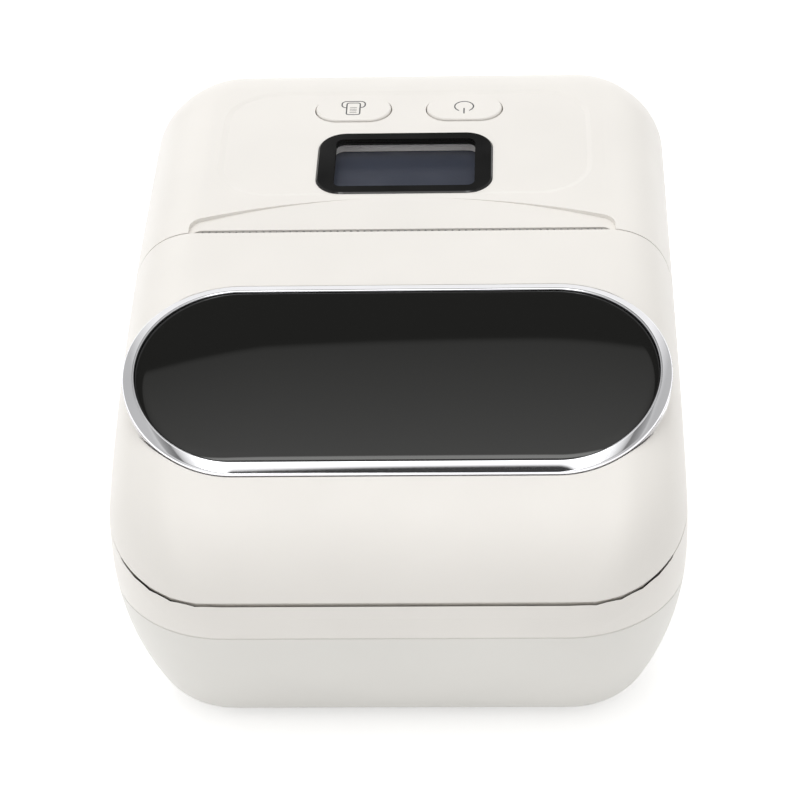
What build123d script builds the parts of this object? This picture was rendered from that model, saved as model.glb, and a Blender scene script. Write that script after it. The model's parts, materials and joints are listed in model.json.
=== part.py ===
from build123d import *
from math import acos, asin, atan2, ceil, cos, degrees, hypot, pi, radians, sin, sqrt, tan
import os

# Portable label printer for rolls of labels up to 80 mm wide.
# X runs along the paper slot, +Y points to the user's side with the keys, +Z is up.
# The origin is on the ground under the middle of the case.

# Case
case_width = 106.0
case_length = 140.0
case_height = 68.0
foot_height = 1.0
foot_sink = 0.8
foot_r = 5.0
foot_x = 24.0
foot_y = 46.0
widest_z = 33.0
base_tuck = 9.0
top_lean = 2.5
corner_r = 22.0
bottom_round = 8.0
shoulder_r = 12.5
slope_length = 87.0
slope_start = 28.0
back_r = 15.3
wall = 2.2
split_z = 27.5
split_chamfer = 0.4

# Seam of the lid
seam_front_z = 34.2
seam_slope = 17.4
seam_y = 2.3
seam_r = 12.0
seam_gap = 0.3

# Lid hinge
hinge_y = -59.5
hinge_z = 38.5
lid_opening = 80.0
hinge_rod_r = 1.25
hinge_eye_r = 2.9
hinge_arm_x = 30.0
hinge_arm_width = 4.0
hinge_ear_width = 3.0
pin_fit = 0.06
side_play = 0.3
swing_clear = 0.5
tail_drop = 1.8
tail_thick = 1.4
tail_gap = 0.1
tail_clear = 0.4

# Window and its ring
ring_length = 101.0
ring_height = 42.4
ring_band = 2.4
ring_tilt = 19.1
ring_y = -33.6
ring_below = 8.6
ring_proud = 1.2
ring_round = 0.8
ring_play = 0.05
lens_seat = 2.0
lens_gap = 0.15
lens_thick = 2.7
lens_round = 1.0
pad_thick = 1.8
view_length = 74.0
view_height = 20.0

# Control panel
slot_half = 40.3
slot_width = 2.0
scoop_back_y = 12.9
scoop_end_y = 6.0
scoop_corner = 3.0
scoop_depth = 1.0
lip_thick = 4.0
lip_back_y = 10.5
panel_width = 74.0
panel_y0 = 13.9
panel_y1 = 53.0
panel_corner = 11.0
panel_step = 0.2
panel_slope = 1.1
key_length = 15.2
key_width = 9.0
key_gap = 0.25
key_proud = 0.3
key_round = 0.4
key_dish = 0.12
key_y = 46.0
print_key_x = -11.0
power_key_x = 11.5
key_travel = 0.5
key_flange = 0.9
lens_width = 34.6
lens_depth = 22.1
lens_y = 25.6
lens_corner = 5.5
lens_proud = 0.15
lens_plate = 1.4
lens_play = 0.1
screen_width = 28.5
screen_depth = 18.7
screen_corner = 2.0
screen_drop = 3.35

# Roll bay
roll_width = 80.0
roll_r = 21.0
bay_y = -31.0
bay_z = 33.0
bay_clear = 1.6
bay_wall = 1.6
bay_half = 43.2
bay_rear_top = 46.0
bay_front_top = 37.5
deck_thick = 1.6
deck_drop = 1.0

# Label guides
guide_thick = 2.0
guide_play = 0.3
guide_r = 16.0
guide_travel = 30.0
hub_r = 12.0
hub_depth = 3.0
neck_half = 3.0
rack_z0 = 6.2
rack_z1 = 8.0
rack_web = 2.4
guide_module = 0.8
guide_teeth = 15
guide_slot_play = 0.4
rack_backlash = 0.18

# Print mechanism
platen_y = -3.5
platen_below = 14.0
platen_r = 5.0
platen_core_r = 2.5
platen_half = 40.2
shaft_end_r = 1.6
bush_r = 3.0
paper_gap = 0.2
head_half = 39.5
head_plate = 1.0
head_below = 7.0
sink_thick = 3.5
head_pivot_z = 38.0
pivot_r = 1.5
frame_back_y = 13.0
frame_sheet = 1.0
frame_half = 41.8
frame_below = 8.0
frame_back_below = 10.6
frame_low = 33.0
spring_r = 3.0
spring_wire = 0.6
spring_turns = 5
spring_x = 24.0
ear_x0 = 42.1
ear_x1 = 43.6
sensor_z = 43.0

# Gear train
gear_module = 0.6
gear_width = 2.4
gear_x = 43.9
layer_gap = 0.4
platen_teeth = 16
idler_teeth = 26
small_teeth = 14
large_teeth = 36
motor_teeth = 14
pressure_angle = 20.0
backlash = 0.16
centre_play = 0.05
clip_gap = 0.3
clip_thick = 0.4
idler_bearing = -60.0
motor_y = 24.5
motor_z = 41.0
motor_r = 10.0
motor_length = 16.0

# Electronics and power
battery_r = 9.2
battery_length = 65.0
battery_y = 33.0
battery_z = 13.4
battery_pitch = 19.0
board_z = 27.0
board_thick = 1.2
board_half = 36.0
board_y0 = 38.0
board_y1 = 66.5
key_board_below = 10.2
key_board_half = 33.0
key_board_y0 = 16.5
key_board_y1 = 53.5
port_x = -22.0
port_width = 9.0
port_height = 3.2
port_length = 7.4
port_recess = 1.2

# Fasteners
screw_r = 1.2
screw_head_r = 2.4
screw_head_h = 1.5
boss_r = 3.4
chassis_boss_x = 34.0
chassis_boss_dy = 19.0
rear_post_x = 41.0
rear_post_y = 50.0
frame_post_x = 28.0
frame_post_y = 8.5

base_z = foot_height
front_y = -case_length / 2
back_y = case_length / 2
full = case_width + case_length

# What hangs under the panel, or points at it, keeps its distance from the top of the case.
ring_z = case_height - ring_below
platen_z = case_height - platen_below
head_top = case_height - head_below
frame_top = case_height - frame_below
frame_back_top = case_height - frame_back_below
key_board_z = case_height - key_board_below


# Helpers

def along_x(face, x0, x1):
    """A solid with the (y, z) outline face, from x0 to x1."""
    return extrude(Plane.YZ.offset(x0) * face, x1 - x0)


def along_z(face, z0, z1):
    """A solid with the (x, y) outline face, from z0 to z1."""
    return extrude(Plane.XY.offset(z0) * face, z1 - z0)


def outline(*points):
    return make_face(Polyline(*points, close=True))


def block(x0, x1, y0, y1, z0, z1):
    return Pos((x0 + x1) / 2, (y0 + y1) / 2, (z0 + z1) / 2) * Box(x1 - x0, y1 - y0, z1 - z0)


def rod_x(radius, x0, x1, y, z):
    return along_x(Pos(y, z) * Circle(radius), x0, x1)


def rod_z(radius, z0, z1, x, y):
    return along_z(Pos(x, y) * Circle(radius), z0, z1)


def both_sides(shape):
    return [shape, mirror(shape, Plane.YZ)]


# Case form

def wall_section(inset):
    """Half of the case wall in section, out from the centre of a plan corner."""
    low_r = ((widest_z - base_z) ** 2 + base_tuck ** 2) / (2 * base_tuck)
    high_r = ((case_height - widest_z) ** 2 + top_lean ** 2) / (2 * top_lean)
    z0, z1 = base_z + inset, case_height + 6

    def out_at(z):
        r = low_r if z < widest_z else high_r
        return corner_r - r + sqrt((r - inset) ** 2 - (z - widest_z) ** 2)

    low_mid, high_mid = (z0 + widest_z) / 2, (z1 + widest_z) / 2
    widest = (corner_r - inset, widest_z)
    face = make_face([
        Line((0, z0), (out_at(z0), z0)),
        ThreePointArc((out_at(z0), z0), (out_at(low_mid), low_mid), widest),
        ThreePointArc(widest, (out_at(high_mid), high_mid), (out_at(z1), z1)),
        Line((out_at(z1), z1), (0, z1)),
        Line((0, z1), (0, z0)),
    ])
    edge = face.vertices().group_by(Axis.Y)[0].sort_by(Axis.X)[-1]
    return fillet(edge, bottom_round - inset)


def wall_body(inset):
    """The bowed walls all round: four turned corners, four sides and the middle."""
    section = Plane.XZ * wall_section(inset)
    cx, cy = case_width / 2 - corner_r, case_length / 2 - corner_r
    corner = revolve(section, Axis.Z, 90)
    side = Pos(cx, cy, 0) * extrude(section, 2 * cy)
    end = Rot(0, 0, 90) * (Pos(cy, cx, 0) * extrude(section, 2 * cx))
    pieces = [side, Rot(0, 0, 180) * side, end, Rot(0, 0, 180) * end]
    for turn, (sx, sy) in enumerate([(1, 1), (-1, 1), (-1, -1), (1, -1)]):
        pieces.append(Pos(sx * cx, sy * cy, 0) * Rot(0, 0, 90 * turn) * corner)
    return block(-cx, cx, -cy, cy, base_z + inset, case_height + 6) + pieces


def top_profile(inset):
    """Side view of all that lies under the top: long slope, flat panel, rounded back."""
    a, b = slope_length - inset, case_height - slope_start - inset
    crest_y = front_y + slope_length
    y1, r, z1 = back_y - inset, back_r - inset, case_height - inset
    low = -6.0
    return make_face([
        EllipticalCenterArc((crest_y, slope_start), a, b, 90, arc_size=90),
        Polyline((crest_y - a, slope_start), (crest_y - a - 4, slope_start - 14),
                 (crest_y - a - 4, low), (y1 + 4, low), (y1 + 4, z1 - r - 14), (y1, z1 - r)),
        RadiusArc((y1, z1 - r), (y1 - r, z1), -r),
        Line((y1 - r, z1), (crest_y, z1)),
    ])


def crown(inset):
    """Everything under the top surface, with no rounding at the sides."""
    return along_x(top_profile(inset), -case_width, case_width)


def case_form(inset):
    body = (wall_body(inset) & crown(inset)).solids()[0]
    tops = [f for f in body.faces() if f.normal_at().Z > 0.3]
    edges = [e for f in tops for e in f.edges()]
    rim = [e for e in edges if sum(e.is_same(other) for other in edges) == 1]
    return fillet(rim, shoulder_r - inset)


def top_z(y, inset=0.0):
    """Height of the top surface over a point of the middle line."""
    b = case_height - slope_start
    share = min(0.0, (y - front_y - slope_length) / slope_length)
    return slope_start + b * sqrt(1 - share * share) - inset


def seam_z(y, clear=0.0):
    return seam_front_z + (y - front_y) * tan(radians(seam_slope)) + clear / cos(radians(seam_slope))


def lid_zone(clear):
    """Side view of the lid's room, behind which the case stands by itself."""
    y0, y1, z1 = front_y - 20, seam_y - clear, case_height + 12
    face = outline((y0, seam_z(y0, clear)), (y1, seam_z(y1, clear)), (y1, z1), (y0, z1))
    corner = face.vertices().sort_by(Axis.Y)[0:2].sort_by(Axis.X)[-1]
    return along_x(fillet(corner, seam_r - clear), -case_width, case_width)


def seam_reach(x, outer):
    """Distance from the hinge axis to the lid's lower outer edge, at a place across the lid."""
    y0, y1 = front_y - 5, front_y + corner_r
    line = Line((x, y0, seam_z(y0, seam_gap)), (x, y1, seam_z(y1, seam_gap)))
    skin = (line & outer).edges().sort_by(Axis.Y)[0].vertices().sort_by(Axis.Y)[0]
    return hypot(skin.Y - hinge_y, skin.Z - hinge_z)


def edge_reaches(outer):
    """Places across the lid, each with the reach of the lid's lower edge from the hinge."""
    straight = case_width / 2 - corner_r
    last = sqrt(corner_r ** 2 - (front_y + corner_r - hinge_y) ** 2)
    steps = 6
    xs = [straight * 0.5] + [straight + last * sin(pi / 2 * i / steps) for i in range(steps + 1)]
    return [(x, seam_reach(x, outer)) for x in xs]


def turned_round_hinge(reaches, grow):
    """A body of revolution about the hinge, as far out as the lid's lower edge and a growth."""
    side = [(x, r + grow) for x, r in reaches]
    end = side[-1][0] + 1.0
    points = [(-end, 0)] + [(-x, r) for x, r in reversed(side)] + side + [(end, 0)]
    return Pos(0, hinge_y, hinge_z) * revolve(Plane.XZ * outline(*points), Axis.X, 360)


def hinge_sweep(reaches):
    """The room that the lid's lower edge and its tail turn through."""
    reach = reaches[0][1] - tail_gap
    drop = (hinge_z - seam_z(hinge_y) + tail_drop) * cos(radians(seam_slope))
    last = asin(drop / reach) + radians(seam_slope + lid_opening)
    last_y = hinge_y - reach * cos(last) + tail_clear
    return turned_round_hinge(reaches, swing_clear) & block(-full, full, front_y - 5, last_y, 0, 100)


def lid_tail(reaches):
    """A curved lip under the lid's front edge that closes the seam and rolls in round the hinge."""
    wide = [place for place in reaches if place[1] > 2 * tail_thick]
    lip = turned_round_hinge(wide, -tail_gap) - turned_round_hinge(wide, -tail_thick)
    y0, y1 = front_y - 20, hinge_y - 1.0
    band = outline((y0, seam_z(y0) - tail_drop), (y1, seam_z(y1) - tail_drop),
                   (y1, seam_z(y1, seam_gap) + 1.0), (y0, seam_z(y0, seam_gap) + 1.0))
    return lip & along_x(band, -full, full)


# Window outline

ring_plane = Plane(origin=(0, ring_y, ring_z), x_dir=(1, 0, 0),
                   z_dir=(0, -sin(radians(ring_tilt)), cos(radians(ring_tilt))))


def stadium(length, height):
    return SlotOverall(length, height)


def window_prism(grow, low, high):
    """A block with the window's outline, grown all round, from low to high along its normal."""
    face = stadium(ring_length + 2 * grow, ring_height + 2 * grow)
    return extrude(ring_plane.offset(low) * face, high - low)


# Screws: tip up, head at the bottom

def screw_from_below(x, y, z_head, z_tip):
    head = rod_z(screw_head_r, z_head, z_head + screw_head_h, x, y)
    head -= Pos(x, y, z_head) * Box(2.4, 0.6, 1.2) + Pos(x, y, z_head) * Box(0.6, 2.4, 1.2)
    return head + rod_z(screw_r, z_head + screw_head_h, z_tip, x, y)


def screw_from_above(x, y, z_head, z_tip):
    head = rod_z(screw_head_r, z_head - screw_head_h, z_head, x, y)
    head -= Pos(x, y, z_head) * Box(2.4, 0.6, 1.2) + Pos(x, y, z_head) * Box(0.6, 2.4, 1.2)
    return head + rod_z(screw_r, z_tip, z_head - screw_head_h, x, y)


def chassis_boss_places():
    return [(sx * chassis_boss_x, bay_y + sy * chassis_boss_dy) for sx in (-1, 1) for sy in (-1, 1)]


def rear_post_places():
    return [(sx * rear_post_x, rear_post_y) for sx in (-1, 1)]


def frame_post_places():
    return [(sx * frame_post_x, frame_post_y) for sx in (-1, 1)]


def foot_places():
    return [(sx * foot_x, sy * foot_y) for sx in (-1, 1) for sy in (-1, 1)]


# Casings

screw_floor_z = base_z + 3.0


def bottom_casing(outer, inner):
    low = block(-full, full, -full, full, -5, split_z)
    shell = (outer - inner) & low
    floor_z = base_z + wall
    for x, y in chassis_boss_places() + rear_post_places():
        top = split_z if y > 0 else screw_floor_z + 2
        shell += rod_z(boss_r, floor_z - 0.5, top, x, y) & outer
        shell -= rod_z(screw_head_r + 0.3, -1, screw_floor_z - 0.2, x, y)
        shell -= rod_z(screw_r + 0.2, 0, top + 1, x, y)
    for x, y in frame_post_places():
        shell += rod_z(boss_r, floor_z - 0.5, frame_low, x, y)
        shell -= rod_z(screw_r, frame_low - 8, frame_low + 1, x, y)
    for x, y in foot_places():
        shell -= rod_z(foot_r + 0.1, -1, base_z + foot_sink, x, y)
    rails = [block(-bay_half + 4, bay_half - 4, bay_y + side * rail_y - 1, bay_y + side * rail_y + 1,
                   floor_z - 0.3, rack_z0 - 0.2) for side in (-1, 1)]
    shell += rails
    stud = rod_z(2.6, floor_z - 0.3, rack_z0 - 0.2, 0, bay_y) + rod_z(1.5, floor_z, rack_z1 + 0.2, 0, bay_y)
    shell += stud
    shell += [rib & inner for rib in battery_cradle(floor_z)]
    for x, y in board_post_places():
        shell += rod_z(2.2, floor_z - 0.3, board_z, x, y) & outer
    rim = [e for e in shell.edges().filter_by_position(Axis.Z, split_z - 0.01, split_z + 0.01)
           if e.bounding_box().size.length > 0 and on_skin(e)]
    return chamfer(rim, split_chamfer)


def on_skin(edge):
    """True for an edge that runs on the outside of the wall at the split."""
    tuck_here = base_tuck * ((widest_z - split_z) / (widest_z - base_z)) ** 2
    p = edge.position_at(0.5)
    cx, cy = case_width / 2 - corner_r, case_length / 2 - corner_r
    away = hypot(max(0.0, abs(p.X) - cx), max(0.0, abs(p.Y) - cy))
    return away > corner_r - tuck_here - 1.0


rail_y = guide_module * guide_teeth / 2 + 2.6


def board_post_places():
    return [(sx * (board_half - 1.4), y) for sx in (-1, 1) for y in (board_y0 + 4, board_y1 - 5)]


def battery_cradle(floor_z):
    """Ribs that hold the two cells."""
    ribs = []
    y0 = battery_y - battery_r - 2
    y1 = battery_y + battery_pitch + battery_r + 2
    for x in (-24.0, 0.0, 24.0):
        ribs.append(block(x - 0.8, x + 0.8, y0, y1, floor_z - 0.3, battery_z - 1))
    cells = [rod_x(battery_r + 0.2, -60, 60, battery_y + i * battery_pitch, battery_z) for i in range(2)]
    return [rib - cells for rib in ribs]


def upper_casing(outer, inner, sweep):
    high = block(-full, full, -full, full, split_z, case_height + 20)
    shell = outer - inner
    lip = block(-slot_half - 1.5, slot_half + 1.5, seam_y, lip_back_y,
                top_z(seam_y) - lip_thick, case_height + 1) & outer
    shell = (shell + lip) & high
    for x, y in rear_post_places():
        shell += rod_z(boss_r, split_z, case_height, x, y) & outer
        shell -= rod_z(screw_r, split_z - 1, split_z + 9, x, y)
    shell -= lid_zone(0)
    shell -= sweep
    shell -= paper_slot()
    shell -= panel_recess()
    for x in (print_key_x, power_key_x):
        hole = Pos(x, key_y) * SlotOverall(key_length + 2 * key_gap, key_width + 2 * key_gap)
        shell -= along_z(hole, case_height - 6, case_height + 2)
    seat = RectangleRounded(lens_width + 2 * lens_play, lens_depth + 2 * lens_play, lens_corner + lens_play)
    shell -= along_z(Pos(0, lens_y) * seat, case_height + lens_proud - lens_plate, case_height + 2)
    sight = Pos(0, lens_y) * RectangleRounded(screen_width, screen_depth, screen_corner)
    shell -= along_z(sight, case_height - 6, case_height + 2)
    shell -= port_hole()
    return shell.solids().sort_by(SortBy.VOLUME)[-1]


def paper_slot():
    """The slot for the labels and the shallow crescent scoop behind it."""
    z0 = top_z(seam_y) - lip_thick - 1
    floor_z = top_z(seam_y) - scoop_depth
    slot_back = seam_y + slot_width
    above = case_height + 3
    slot = along_z(Pos(0, slot_back - slot_width) * SlotOverall(2 * slot_half, 2 * slot_width), z0, above)
    y0, y1 = seam_y - 2, scoop_back_y
    depth = along_x(outline((y0, floor_z), (slot_back, floor_z), (y1, case_height - 0.03),
                            (y1 + 1, case_height + 3), (y0, case_height + 3)), -full, full)
    half = slot_half + 0.6
    plan = make_face([
        Line((-half, y0), (-half, scoop_end_y)),
        ThreePointArc((-half, scoop_end_y), (0, scoop_back_y), (half, scoop_end_y)),
        Line((half, scoop_end_y), (half, y0)),
        Line((half, y0), (-half, y0)),
    ])
    corners = plan.vertices().filter_by_position(Axis.Y, scoop_end_y - 0.1, scoop_end_y + 0.1)
    return slot + (depth & along_z(fillet(corners, scoop_corner), z0, case_height + 3))


def panel_recess():
    """The flat panel with the keys and the screen lies a soft step lower than the top."""
    cy, dy = (panel_y0 + panel_y1) / 2, panel_y1 - panel_y0
    low = Pos(0, cy) * RectangleRounded(panel_width - 2 * panel_slope, dy - 2 * panel_slope,
                                        panel_corner - panel_slope)
    floor = Plane.XY.offset(case_height - panel_step) * low
    lean = degrees(atan2(panel_slope, panel_step))
    return extrude(floor, 2 * panel_step, taper=-lean)


def port_centre_z():
    return board_z + board_thick + port_height / 2


def port_hole():
    face = Pos(port_x, port_centre_z()) * SlotOverall(port_width + 1.2, port_height + 1.2)
    return extrude(Plane.XZ.offset(-back_y - 2) * face, 12)


def lid_shell(outer, inner, reaches):
    pad = window_prism(-0.4, -13, 6) & crown(lens_seat)
    backing = pad - crown(lens_seat + pad_thick)
    plinth = pad - inner
    shell = (outer - inner) + backing + plinth
    shell &= lid_zone(seam_gap)
    shell -= window_prism(ring_play, -13, 12) - crown(lens_seat)
    sight = extrude(ring_plane.offset(-16) * stadium(view_length, view_height), 30)
    shell -= sight
    shell = shell.solids().sort_by(SortBy.VOLUME)[-1]
    shell += lid_tail(reaches) & outer
    shell += lid_ears(inner)
    return shell.solids().sort_by(SortBy.VOLUME)[-1]


def hinge_ear_spans():
    """Where the lid's ears stand along the rod, each beside an arm of the chassis."""
    x0 = hinge_arm_x - side_play - hinge_ear_width
    return [(x0, x0 + hinge_ear_width), (-x0 - hinge_ear_width, -x0)]


def lid_ears(inner):
    """Two ears that come down from the lid's front to the hinge rod."""
    face = make_face(Polyline((hinge_y - hinge_eye_r, hinge_z), (front_y + 1, hinge_z + 1),
                              (front_y + 8, hinge_z + 16), (hinge_y + 4, hinge_z + 16),
                              (hinge_y + hinge_eye_r, hinge_z), close=True))
    face += Pos(hinge_y, hinge_z) * Circle(hinge_eye_r)
    face -= Pos(hinge_y, hinge_z) * Circle(hinge_rod_r + pin_fit)
    ears = [along_x(face, x0, x1) & inner for x0, x1 in hinge_ear_spans()]
    return ears


# Window

def ring_bezel():
    """The plated ring: a band on the crown of the lid that stands proud of the window."""
    outer = window_prism(0, -12, 12)
    hole = window_prism(-ring_band, -20, 20)
    band = (outer - hole) & (crown(-ring_proud) - crown(lens_seat))
    band = band.solids().sort_by(SortBy.VOLUME)[-1]
    tops = [f for f in band.faces() if f.normal_at().Z > 0.6 and f.area > 100]
    edges = [e for f in tops for e in f.edges()]
    rim = [e for e in edges if sum(e.is_same(other) for other in edges) == 1]
    return fillet(rim, ring_round)


def window_lens():
    """The smoked window, curved with the lid, with a rim that rolls down to the ring."""
    face = window_prism(-ring_band - lens_gap, -20, 20)
    low = lens_seat - 0.02
    plate = (face & (crown(low - lens_thick) - crown(low))).solids()[0]
    tops = [f for f in plate.faces() if f.normal_at().Z > 0.6 and f.center().Z > ring_z - 8]
    top = max(tops, key=lambda f: f.center().Z)
    return fillet(top.edges(), lens_round)


# Keys and display

def key(x):
    """A pill-shaped key with a flange that keeps it in its hole, and its stem."""
    inside_z = case_height - wall
    key_top = case_height + key_proud
    cap = along_z(Pos(x, key_y) * SlotOverall(key_length, key_width), inside_z - 1.0, key_top)
    cap = fillet(cap.edges().group_by(Axis.Z)[-1], key_round)
    dish_r = key_length ** 2 / (8 * key_dish)
    cap -= Pos(x, key_y, key_top + dish_r - key_dish) * Sphere(dish_r)
    flange = along_z(Pos(x, key_y) * SlotOverall(key_length + 2 * key_flange, key_width + 2 * key_flange),
                     inside_z - 1.05, inside_z - 0.05)
    stem = rod_z(1.6, switch_top() + 0.8, inside_z - 1.0, x, key_y)
    return cap + flange + stem


def switch_top():
    return key_board_z + board_thick + 3.4


def plunger(x):
    """The moving tip of the switch under a key."""
    return rod_z(1.3, switch_top() - 1.0, switch_top() + 0.8, x, key_y)


def key_board():
    board = block(-key_board_half, key_board_half, key_board_y0, key_board_y1,
                  key_board_z, key_board_z + board_thick)
    for x in (print_key_x, power_key_x):
        switch = block(x - 3, x + 3, key_y - 3, key_y + 3, key_board_z + board_thick, switch_top())
        switch -= rod_z(1.5, switch_top() - 2.0, switch_top() + 1, x, key_y)
        board += switch
    board += block(-20, -12, key_board_y1 - 8, key_board_y1 - 2, key_board_z - 2.2, key_board_z)
    for x in (-key_board_half + 4, key_board_half - 4):
        for y in (key_board_y0 + 8, key_board_y1 - 4):
            board -= rod_z(1.3, key_board_z - 1, key_board_z + 3, x, y)
    return board


def key_board_posts():
    """Posts under the panel that carry the key board."""
    posts = []
    for x in (-key_board_half + 4, key_board_half - 4):
        for y in (key_board_y0 + 8, key_board_y1 - 4):
            post = rod_z(2.4, key_board_z + board_thick, case_height - wall + 0.3, x, y)
            post += rod_z(1.2, key_board_z, key_board_z + board_thick, x, y)
            posts.append(post)
    return posts


def display_lens():
    plate = along_z(Pos(0, lens_y) * RectangleRounded(lens_width, lens_depth, lens_corner),
                    case_height + lens_proud - lens_plate, case_height + lens_proud)
    return chamfer(plate.edges().group_by(Axis.Z)[-1], 0.25)


def display_z():
    return case_height + lens_proud - screen_drop


def display_holder():
    """The frame that squares the display to its window."""
    z1 = case_height - wall - 0.05
    frame = along_z(Pos(0, lens_y) * RectangleRounded(38, 28, 2), key_board_z + board_thick, z1)
    frame -= along_z(Pos(0, lens_y) * Rectangle(34.4, 24.4), key_board_z, display_z())
    sight = RectangleRounded(screen_width, screen_depth, screen_corner)
    frame -= along_z(Pos(0, lens_y) * sight, key_board_z, z1 + 1)
    return frame


def display_module():
    glass = block(-17, 17, lens_y - 12, lens_y + 12, display_z() - 1.6, display_z() - 0.1)
    carrier = block(-16, 16, lens_y - 11, lens_y + 11, key_board_z + board_thick, display_z() - 1.6)
    return glass + carrier


# Chassis with the roll bay

def bay_radius():
    return roll_r + bay_clear


def bay_outline(grow, rear_top, front_top):
    """Side view of the bay: a round trough with upright front and rear walls."""
    r = bay_radius() + grow
    face = Pos(bay_y, bay_z) * Circle(r)
    face -= Pos(bay_y, bay_z + r) * Rectangle(4 * r, 2 * r)
    face += outline((bay_y - r, bay_z), (bay_y, bay_z), (bay_y, front_top), (bay_y - r, front_top))
    face += outline((bay_y, bay_z), (bay_y + r, bay_z), (bay_y + r, rear_top), (bay_y, rear_top))
    return face


def deck_rear():
    """The decks and end walls stop short of the roller's gear."""
    return platen_y - gear_module * (platen_teeth / 2 + 1) - 1.0


def under_seam(drop):
    """Side view of all that lies lower than the seam by a drop."""
    y0, y1 = front_y - 20, 20
    return outline((y0, seam_z(y0) - drop), (y1, seam_z(y1) - drop), (y1, -20), (y0, -20))


def chassis(sweep):
    """The inner moulding: bay, decks beside it, hinge arms and screw bosses."""
    trough = along_x(bay_outline(bay_wall, bay_rear_top, bay_front_top), -bay_half, bay_half)
    trough -= along_x(bay_outline(0, bay_rear_top + 20, bay_front_top + 20), -full, full)
    ends = along_x(bay_outline(bay_wall, 90, 90), -bay_half - bay_wall, bay_half + bay_wall)
    ends -= block(-bay_half, bay_half, -full, full, 0, 100)
    ends &= along_x(under_seam(deck_drop), -full, full)
    room = case_form(wall + 0.25)
    slab = under_seam(deck_drop) - under_seam(deck_drop + deck_thick)
    deck = along_x(slab, -full, full) & room
    deck &= block(-full, full, bay_y - bay_radius() - bay_wall, deck_rear(), 0, 80)
    deck -= block(-bay_half, bay_half, -full, full, 0, 90)
    high_rear = block(-full, full, deck_rear(), full, bay_rear_top, 100)
    body = trough + (ends - high_rear) + deck
    for x, y in chassis_boss_places():
        boss = rod_z(boss_r, screw_floor_z + 2, bay_z, x, y)
        body += boss - along_x(bay_outline(0, 90, 90), -bay_half, bay_half)
    body -= sweep
    body += hinge_arms()
    body += sensor_shelf()
    for x, y in chassis_boss_places():
        body -= rod_z(screw_r, 0, screw_floor_z + 11, x, y)
    for side in (-1, 1):
        x0, x1 = sorted((side * 7.0, side * (bay_half - 0.2)))
        body -= block(x0, x1, bay_y - neck_half - guide_slot_play, bay_y + neck_half + guide_slot_play,
                      0, bay_z - bay_radius() + 2)
    return body.solids().sort_by(SortBy.VOLUME)[-1]


def sensor_shelf():
    """A ledge on the bay's rear wall under the gap sensor."""
    y0 = bay_y + bay_radius() + bay_wall / 2
    return block(-9, 9, y0, platen_y + 2, sensor_z - 1.6, sensor_z)


def hinge_arms():
    """Arms that reach forward from the bay's front wall to the hinge rod."""
    y0 = bay_y - bay_radius() - bay_wall
    face = outline((hinge_y, hinge_z + hinge_eye_r), (y0 + bay_wall, hinge_z + 1.5),
                   (y0 + bay_wall, hinge_z - 5), (y0, hinge_z - 5), (hinge_y, hinge_z - hinge_eye_r))
    face += Pos(hinge_y, hinge_z) * Circle(hinge_eye_r)
    face -= Pos(hinge_y, hinge_z) * Circle(hinge_rod_r)
    return [along_x(face, hinge_arm_x, hinge_arm_x + hinge_arm_width),
            along_x(face, -hinge_arm_x - hinge_arm_width, -hinge_arm_x)]


def hinge_rod():
    x = hinge_arm_x + hinge_arm_width + 0.5
    return chamfer(rod_x(hinge_rod_r, -x, x, hinge_y, hinge_z).edges(), 0.3)


# Label guides

def guide_pitch_r():
    return guide_module * guide_teeth / 2


def guide_plate():
    """The left guide: a round cheek with a hub for the roll's core, on a neck and a rack."""
    face_x = -(roll_width / 2 + guide_play)
    back_x = face_x - guide_thick
    floor = bay_z - bay_radius()
    cheek = Pos(bay_y, bay_z) * Circle(guide_r)
    cheek += outline((bay_y - 9, bay_z - 8), (bay_y + 9, bay_z - 8), (bay_y + 5, floor + 1.6),
                     (bay_y - 5, floor + 1.6))
    cheek += outline((bay_y - neck_half, floor + 2), (bay_y + neck_half, floor + 2),
                     (bay_y + neck_half, rack_z0), (bay_y - neck_half, rack_z0))
    body = along_x(cheek, back_x, face_x)
    hub = rod_x(hub_r, face_x, face_x + hub_depth, bay_y, bay_z)
    hub = chamfer(hub.edges().group_by(Axis.X)[-1], 0.8)
    body += hub
    body -= rod_x(hub_r - 1.6, back_x - 1, face_x + hub_depth - 1.2, bay_y, bay_z)
    spoke = Pos(hub_r / 2, 0) * Rectangle(5, 2)
    slots = [Pos(bay_y, bay_z) * Rot(0, 0, 60 * i) * spoke for i in range(6)]
    for slot in slots:
        body -= along_x(slot, back_x - 1, face_x + hub_depth + 1)
    return body


def rack(length_x0, length_x1, side, tooth_x):
    """A flat rack whose teeth face the pinion; side is -1 in front of it and +1 behind."""
    m, angle = guide_module, radians(pressure_angle)
    line_y = guide_pitch_r() + centre_play
    tip, root = line_y - 0.85 * m, line_y + 1.15 * m
    half_pitch = pi * m / 4 - rack_backlash / 2
    count = int((length_x1 - length_x0) / (pi * m)) + 2
    first = ceil((length_x0 + m - tooth_x) / (pi * m))
    points = [(length_x0, root)]
    for k in range(first, first + count):
        x = tooth_x + k * pi * m
        if x + m > length_x1:
            break
        wide, narrow = half_pitch + 1.15 * m * tan(angle), half_pitch - 0.85 * m * tan(angle)
        points += [(x - wide, root), (x - narrow, tip), (x + narrow, tip), (x + wide, root)]
    points += [(length_x1, root), (length_x1, root + rack_web), (length_x0, root + rack_web)]
    face = make_face(Polyline(*[(x, bay_y + side * y) for x, y in points], close=True))
    return along_z(face, rack_z0, rack_z1)


def guide_left():
    x_end = -(roll_width / 2 + guide_play + guide_thick)
    m = guide_module
    root_y = guide_pitch_r() + centre_play + 1.15 * m
    body = guide_plate()
    foot = block(x_end, x_end + guide_thick + 2, bay_y - root_y - rack_web, bay_y + neck_half,
                 rack_z0, rack_z1)
    return body + foot + rack(x_end, 4.0, -1, pi * m / 2)


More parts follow.
